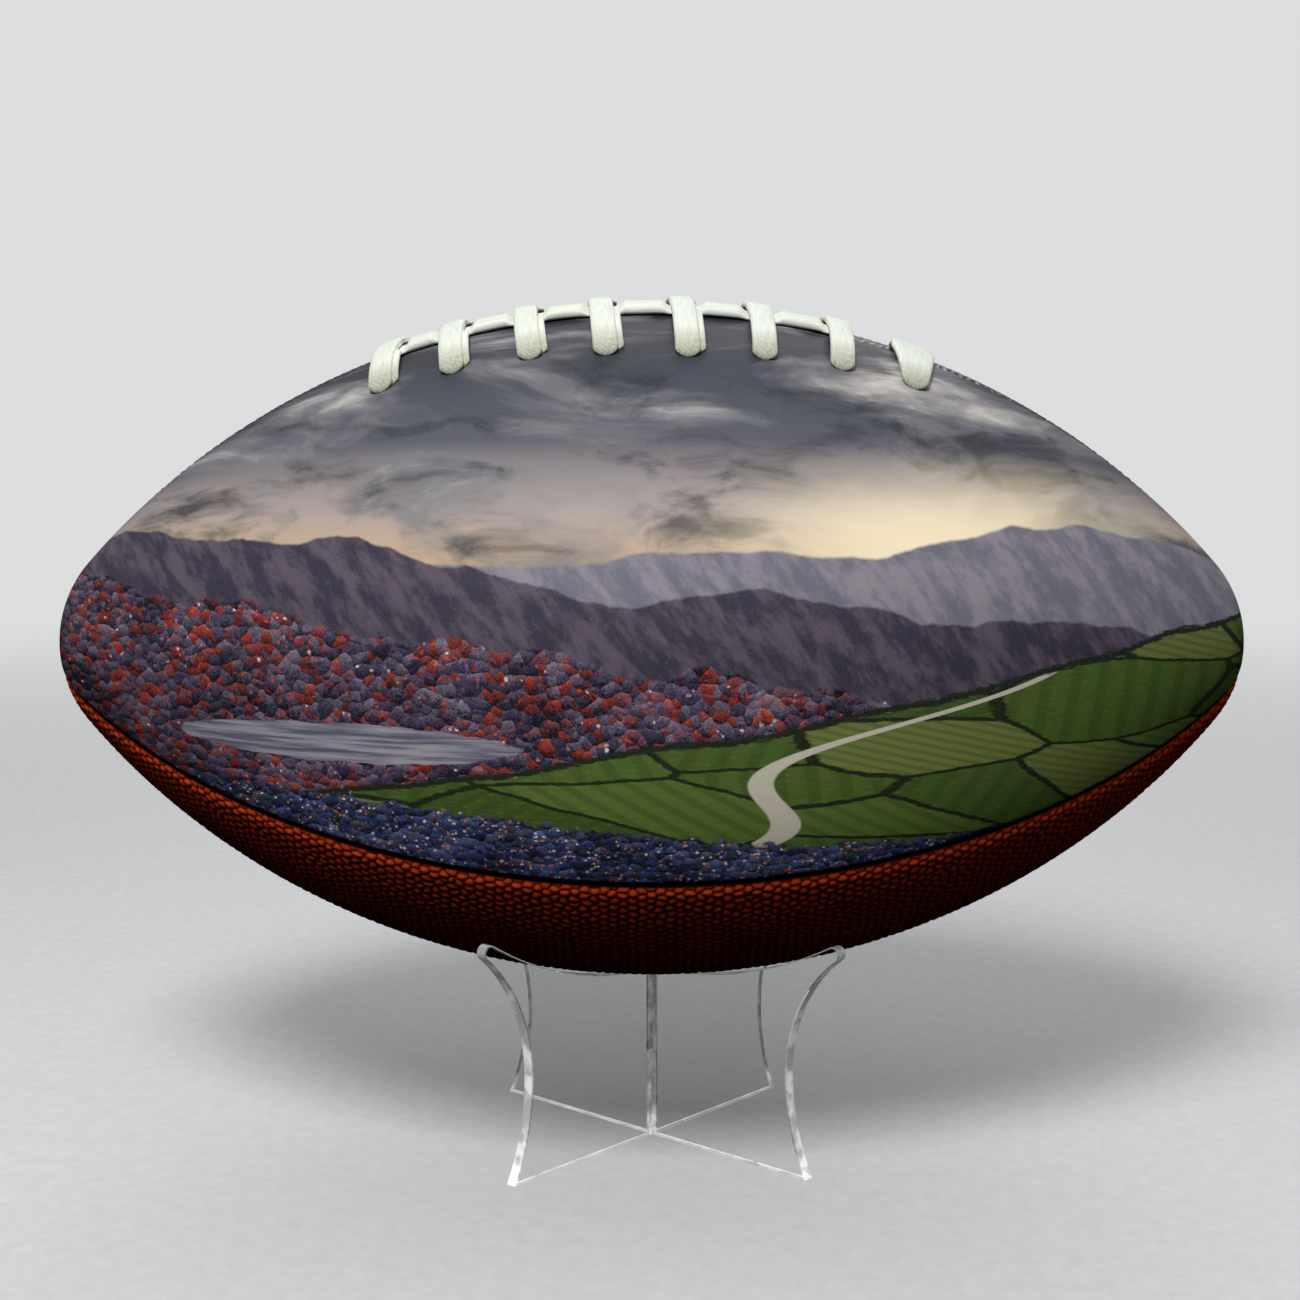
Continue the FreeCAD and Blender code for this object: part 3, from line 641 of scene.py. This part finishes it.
def strap_path(distance, reach, lift):
    """Points of a strap's middle line across the seam, down to the leather, and their outward ways."""
    arch_steps = 26
    bend_steps = 17
    crest = distance + 2 * LACE_GAP + lift
    ends = distance + LACE_GAP
    turn = reach / BALL_RADIUS
    centre = (crest**2 - ends**2) / (2 * (crest - ends * math.cos(turn)))
    radius = crest - centre
    end = math.atan2(ends * math.sin(turn), ends * math.cos(turn) - centre)
    middle = STRAP_THICKNESS / 2
    arch = np.linspace(0, end, arch_steps)
    last = turn + math.acos((STRAP_BEND - LACE_GAP) / (STRAP_BEND + STRAP_THICKNESS))
    bend = np.linspace(end, last, bend_steps)[1:]
    bend_y = (radius - STRAP_BEND) * math.sin(end)
    bend_z = centre + (radius - STRAP_BEND) * math.cos(end)
    over = np.stack([np.sin(arch), np.cos(arch)], axis=-1)
    down = np.stack([np.sin(bend), np.cos(bend)], axis=-1)
    points = np.concatenate([
        over * (radius + middle) + np.array([0, centre]),
        down * (STRAP_BEND + middle) + np.array([bend_y, bend_z]),
    ])
    outward = np.concatenate([over, down])
    flip = np.array([-1, 1])
    points = np.concatenate([points[:0:-1] * flip, points])
    outward = np.concatenate([outward[:0:-1] * flip, outward])
    return points, outward


def strap_mesh(place, lean, lift, flare=0.0, shift=0.0, sink=0.0, thin=1.0, short=0.0):
    """A strap's rings of points in the row frame, with its fibre coordinates and the share of painted shade
    and fuzz near its ends.
    """
    slope = math.asin(place / SIDE_RADIUS)
    height = SIDE_RADIUS * math.cos(slope) - SIDE_DROP
    points, outward = strap_path(height / math.cos(slope), STRAP_REACH - short, lift)
    loop = 28
    least_half = 0.0004
    thinnest = 0.55
    unevenness = 0.03
    aside_run = 0.0018
    underside_fibres = 0.02
    top = points + outward * STRAP_THICKNESS / 2
    run = np.concatenate([[0], np.cumsum(np.linalg.norm(np.diff(top, axis=0), axis=1))])
    half_run = run[-1] / 2
    rings = []
    along = []
    across = []
    shade_and_fuzz = []
    round_end = STRAP_WIDTH / 2
    for index, (point, normal) in enumerate(zip(points, outward)):
        from_end = half_run - abs(run[index] - half_run)
        inside = max(0.0, round_end - from_end)
        half = max(least_half, math.sqrt(max(0.0, round_end**2 - inside**2)))
        half *= 1 + flare * from_end / half_run
        fullness = thinnest + (1 - thinnest) * min(1.0, half / round_end)
        ripple = 1 + unevenness * math.sin(run[index] * 900 + place * 5000)
        wide, thick = section(half, STRAP_THICKNESS / 2 * thin * fullness * ripple, loop)
        level = thick - sink
        free = -point[0] - STRAND_WIDTH / 2 if point[0] < 0 else (point[0] - STRAND_WIDTH) / 4
        aside = min(1.0, max(0.0, free / aside_run))
        x = wide + shift * aside - lean * point[0]
        rings.append(np.stack([x, point[0] + normal[0] * level, point[1] + normal[1] * level], axis=-1))
        along.append(np.full(loop, run[index]))
        across.append(wide + np.where(thick > 0, 0, underside_fibres))
        shade_and_fuzz.append(np.full(loop, min(1.0, max(0.0, (SHADE_AND_FUZZ_LENGTH - from_end) / SHADE_AND_FUZZ_FADE))))
    spot = np.array([place - height * math.tan(slope), 0, 0])
    tilt = np.array(Matrix.Rotation(slope, 3, "Y"))
    roll = np.array(Matrix.Rotation(math.radians(90 - LACE_SEAM), 3, "X"))
    cloud = np.concatenate(rings) @ tilt.T + spot
    cloud = cloud @ roll.T + BALL_CENTRE
    return cloud, len(points), loop, np.concatenate(along), np.concatenate(across), np.concatenate(shade_and_fuzz)


def lace_object(name, replaced, tubes, material):
    """One mesh of several tubes, with the fibre coordinates that the lace's material reads."""
    points = []
    faces = []
    fields = {"along": [], "across": [], "shade_and_fuzz": []}
    count = 0
    for cloud, rings, loop, along, across, shade_and_fuzz in tubes:
        faces += tube_faces(rings, loop, count)
        count += len(cloud)
        points.append(cloud)
        for key, values in zip(fields, (along, across, shade_and_fuzz)):
            fields[key].append(values)
    cloud = np.concatenate(points).tolist()
    piece = new_object(name, cloud, faces, "football", replaced, material)
    for key, values in fields.items():
        keep_values(piece, key, np.concatenate(values))


def strap_places():
    """Where the straps cross the seam, as places along the ball's axis."""
    middle = (len(STRAP_DRIFTS) - 1) / 2
    return [(index - middle) * STRAP_PITCH + drift for index, drift in enumerate(STRAP_DRIFTS)]


def cross_lace(material):
    """All the straps, and beside the first ones the lace's other pass underneath."""
    tubes = []
    places = strap_places()
    for index, (place, lean, short) in enumerate(zip(places, STRAP_LEANS, STRAP_SHORTS)):
        if index >= STRAND_STRAPS:
            tubes.append(strap_mesh(place, lean, 0.0, flare=LAST_STRAP_FLARE, short=short))
            continue
        lift = PRESSED * STRAND_THICKNESS
        tubes.append(strap_mesh(place, lean, lift, short=short))
        if index < SECOND_PASS_STRAPS:
            tubes.append(strap_mesh(
                place, lean, lift, shift=SECOND_PASS_SHIFT, sink=SECOND_PASS_SINK,
                thin=SECOND_PASS_THIN, short=short + SECOND_PASS_SHORT,
            ))
    lace_object("cross_lace_straps", "cross_lace", tubes, material)


def centre_lace(material):
    """The strand along the seam, pressed flat under each strap."""
    places = strap_places()
    first = SIDE_RADIUS * math.asin((places[0] - STRAP_WIDTH / 4) / SIDE_RADIUS)
    last = SIDE_RADIUS * math.asin((places[STRAND_STRAPS - 1] + STRAP_WIDTH / 4) / SIDE_RADIUS)
    steps = 260
    loop = 36
    held = 0.55 * STRAP_WIDTH
    swell_run = 0.0022
    swell = 0.0003
    wider_when_pressed = 0.05
    run = np.linspace(first, last, steps)
    x, girth, normal_x, normal_r = outline(run)
    rings = []
    across = []
    for index in range(len(run)):
        nearest = min(abs(x[index] - place - SECOND_PASS_SHIFT / 3) for place in places[:STRAND_STRAPS])
        free = min(1.0, max(0.0, (nearest - held) / swell_run))
        free = free * free * (3 - 2 * free)
        half_width = STRAND_WIDTH / 2 * (1 + wider_when_pressed - wider_when_pressed * free)
        half_thickness = STRAND_THICKNESS / 2 * (PRESSED + (1 - PRESSED) * free)
        wide, thick = section(half_width, half_thickness, loop)
        crown = swell * free * np.cos(wide / half_width * math.pi / 2) * (thick > 0)
        rise = LACE_GAP + half_thickness + thick + crown
        rings.append(np.stack(
            [x[index] + normal_x[index] * rise, wide, girth[index] + normal_r[index] * rise], axis=-1
        ))
        across.append(wide)
    roll = np.array(Matrix.Rotation(math.radians(90 - LACE_SEAM), 3, "X"))
    cloud = np.concatenate(rings) @ roll.T + BALL_CENTRE
    along = np.repeat(run, loop)
    tube = (cloud, len(run), loop, along, np.concatenate(across), np.zeros(len(cloud)))
    lace_object("centre_lace_strand", "centre_lace", [tube], material)


def dress_nodes():
    """Gives each CAD node that stays its material."""
    by_slot = {}
    for slot, dark, light, scale, roughness, depth in (
        ("lining_cloth", (0.45, 0.40, 0.31), (0.66, 0.60, 0.49), 700.0, 0.9, 0.0002),
        ("backing_leather", (0.16, 0.085, 0.05), (0.27, 0.16, 0.10), 500.0, 0.8, 0.0002),
        ("bladder_rubber", (0.010, 0.010, 0.011), (0.022, 0.022, 0.023), 300.0, 0.55, 0.0001),
        ("valve_rubber", (0.008, 0.008, 0.009), (0.020, 0.020, 0.021), 900.0, 0.5, 0.00005),
        ("thread", (0.05, 0.035, 0.025), (0.12, 0.09, 0.06), 2500.0, 0.7, 0.0001),
    ):
        by_slot[slot] = plain_material(slot, dark, light, scale, roughness, depth)
    for part in frame["record"]["subparts"]:
        node = frame["nodes"][part["node"]]
        material = by_slot.get(part["material_slot"])
        if part["material_slot"] == "clear_acrylic":
            face = max(node.data.polygons, key=lambda polygon: polygon.area)
            material = acrylic_material(part["node"], face.normal)
            node.visible_shadow = False
            node.visible_diffuse = False
            node.visible_glossy = False
        if material is not None:
            node.data.materials.clear()
            node.data.materials.append(material)


def pale_floor():
    """A pale floor that fades out into the surround and throws no light on the ball."""
    half = 3.0
    fade = (0.35, 1.5)
    floor_mesh = bpy.data.meshes.new("floor")
    corners = [(-half, -half, 0), (half, -half, 0), (half, half, 0), (-half, half, 0)]
    floor_mesh.from_pydata(corners, [], [(0, 1, 2, 3)])
    floor = bpy.data.objects.new("floor", floor_mesh)
    bpy.context.scene.collection.objects.link(floor)
    g = Graph("floor")
    x, y, _ = g.parts(g.place())
    reach = g.math("SQRT", g.total(g.times(x, x), g.times(y, y)))
    speck = g.noise(g.place(), 220.0, 5.0)[0]
    g.set(Base_Color=g.ramp(speck, (0.3, (0.60, 0.605, 0.61)), (0.7, (0.66, 0.665, 0.67))))
    g.set(Roughness=0.6, Specular_IOR_Level=0.25)
    clear = g.nodes.new("ShaderNodeBsdfTransparent")
    blend = g.nodes.new("ShaderNodeMixShader")
    g.put(blend.inputs[0], g.step(reach, *fade))
    g.put(blend.inputs[1], g.shader.outputs[0])
    g.put(blend.inputs[2], clear.outputs[0])
    g.links.new(blend.outputs[0], g.nodes["Material Output"].inputs["Surface"])
    floor_mesh.materials.append(g.material)
    floor.visible_diffuse = False
    floor.visible_glossy = False


def pale_surround():
    """A dome that lights the ball from above, and a plain pale grey where it is seen."""
    world = bpy.data.worlds.new("surround")
    bpy.context.scene.world = world
    world.use_nodes = True
    nodes, links = world.node_tree.nodes, world.node_tree.links
    light = nodes["Background"]
    light.inputs["Color"].default_value = (0.95, 0.97, 1.0, 1.0)
    way = nodes.new("ShaderNodeSeparateXYZ")
    links.new(nodes.new("ShaderNodeTexCoord").outputs["Generated"], way.inputs[0])
    dome = nodes.new("ShaderNodeMapRange")
    dome.interpolation_type = "SMOOTHSTEP"
    links.new(way.outputs["Z"], dome.inputs["Value"])
    for key, value in (("From Min", -0.1), ("From Max", 0.8), ("To Min", 0.0), ("To Max", 0.45)):
        dome.inputs[key].default_value = value
    links.new(dome.outputs[0], light.inputs["Strength"])
    shown = nodes.new("ShaderNodeBackground")
    shown.inputs["Color"].default_value = (0.72, 0.73, 0.735, 1.0)
    shown.inputs["Strength"].default_value = 1.0
    path = nodes.new("ShaderNodeLightPath")
    seen = nodes.new("ShaderNodeMath")
    seen.operation = "MAXIMUM"
    links.new(path.outputs["Is Camera Ray"], seen.inputs[0])
    links.new(path.outputs["Is Transmission Ray"], seen.inputs[1])
    blend = nodes.new("ShaderNodeMixShader")
    links.new(seen.outputs[0], blend.inputs[0])
    links.new(light.outputs[0], blend.inputs[1])
    links.new(shown.outputs[0], blend.inputs[2])
    links.new(blend.outputs[0], nodes["World Output"].inputs["Surface"])


def soft_lamps():
    """Square lamps that face the ball: name, place, side in metres and watts."""
    for name, place, size, power in (
        ("key", (-0.20, -0.85, 1.02), 0.4, 15.0),
        ("fill", (0.5, -1.3, 0.45), 0.8, 0.3),
        ("back", (0.1, 0.9, 1.0), 0.8, 4.0),
    ):
        lamp = bpy.data.lights.new(name, "AREA")
        lamp.size = size
        lamp.energy = power
        holder = bpy.data.objects.new(name, lamp)
        holder.location = place
        aim = Vector(BALL_CENTRE) - Vector(place)
        holder.rotation_euler = aim.to_track_quat("-Z", "Y").to_euler()
        bpy.context.scene.collection.objects.link(holder)


def camera():
    """The photograph's camera."""
    lens = bpy.data.cameras.new("camera")
    lens.sensor_width = SENSOR
    lens.sensor_fit = "HORIZONTAL"
    lens.lens = FOCAL_PIXELS * SENSOR / FRAME_PIXELS
    lens.clip_start = 0.01
    holder = bpy.data.objects.new("camera", lens)
    holder.location = CAMERA_PLACE
    holder.rotation_euler = (math.radians(90 - CAMERA_TILT), 0, 0)
    bpy.context.scene.collection.objects.link(holder)
    bpy.context.scene.camera = holder


def football():
    """The four panels and the lacing."""
    leather = leather_material()
    panel("picture", FRONT_SEAM, LACE_SEAM, PICTURE_SPACING, 0.0, picture_material())
    panel("lower_front", BOTTOM_SEAM - 360, FRONT_SEAM, FRONT_SPACING, PEBBLE_HEIGHT, leather)
    panel("rear_upper", LACE_SEAM, REAR_SEAM, REAR_SPACING, PEBBLE_HEIGHT, leather)
    panel("lower_rear", REAR_SEAM, BOTTOM_SEAM, REAR_SPACING, PEBBLE_HEIGHT, leather)
    lace = lace_material()
    cross_lace(lace)
    centre_lace(lace)


bpy.context.scene.view_settings.view_transform = "Standard"
dress_nodes()
football()
pale_floor()
pale_surround()
soft_lamps()
camera()
